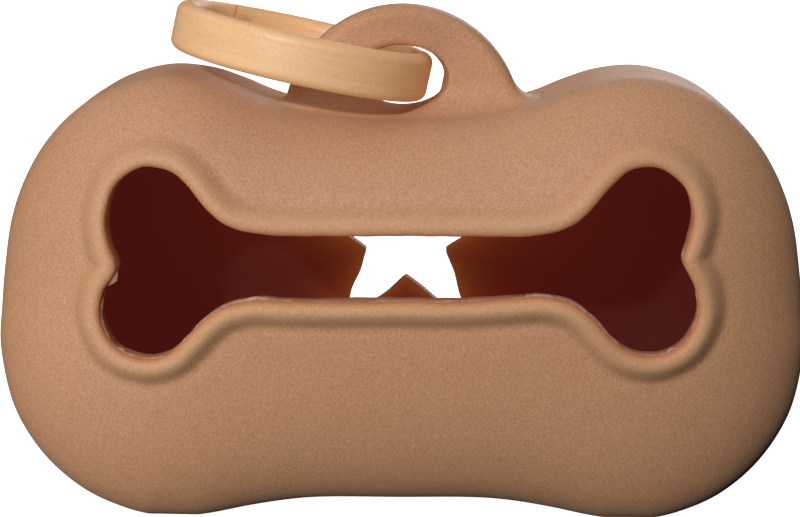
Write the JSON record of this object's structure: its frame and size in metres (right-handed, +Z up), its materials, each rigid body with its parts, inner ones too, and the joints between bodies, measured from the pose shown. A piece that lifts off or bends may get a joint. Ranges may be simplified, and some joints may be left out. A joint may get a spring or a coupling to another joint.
{
  "type": "dog waste bag dispenser",
  "caption": "Bone-shaped soft pouch that holds a waste bag roll, with a bone-shaped loading slot in front, a star outlet behind, and a sprung gate ring through its tab.",
  "frame": {"origin": "on the surface it stands on, midway between the two lower lobes and midway front to back", "axes": "+Z up through the tab, front face and loading slot towards -Y, +X to the right seen from the front"},
  "size_m": [0.092, 0.0399, 0.0589],
  "materials": {
    "silicone": "matte tan silicone",
    "ring_band": "satin beige, faint streaks along the band",
    "pin_steel": "plain steel"
  },
  "bodies": {
    "pouch": {"shell": "silicone"},
    "ring": {"ring_body": "ring_band", "gate_pin": "pin_steel", "gate_spring": "pin_steel"},
    "gate": {"ring_gate": "ring_band"}
  },
  "joints": [
    {"name": "ring_swing", "type": "hinge", "parent": "pouch", "child": "ring", "pos_m": [0.0018, 0, 0.0502], "axis": [0, 0.9998, -0.0175], "range_deg": [-4, 150]},
    {"name": "gate_hinge", "type": "hinge", "parent": "ring", "child": "gate", "pos_m": [-0.00429, 0.01151, 0.05135], "axis": [0.2164, 0.017, 0.9761], "range_deg": [0, 30], "stiffness_Nm_per_rad": 0.01, "springref_deg": -34.38}
  ]
}
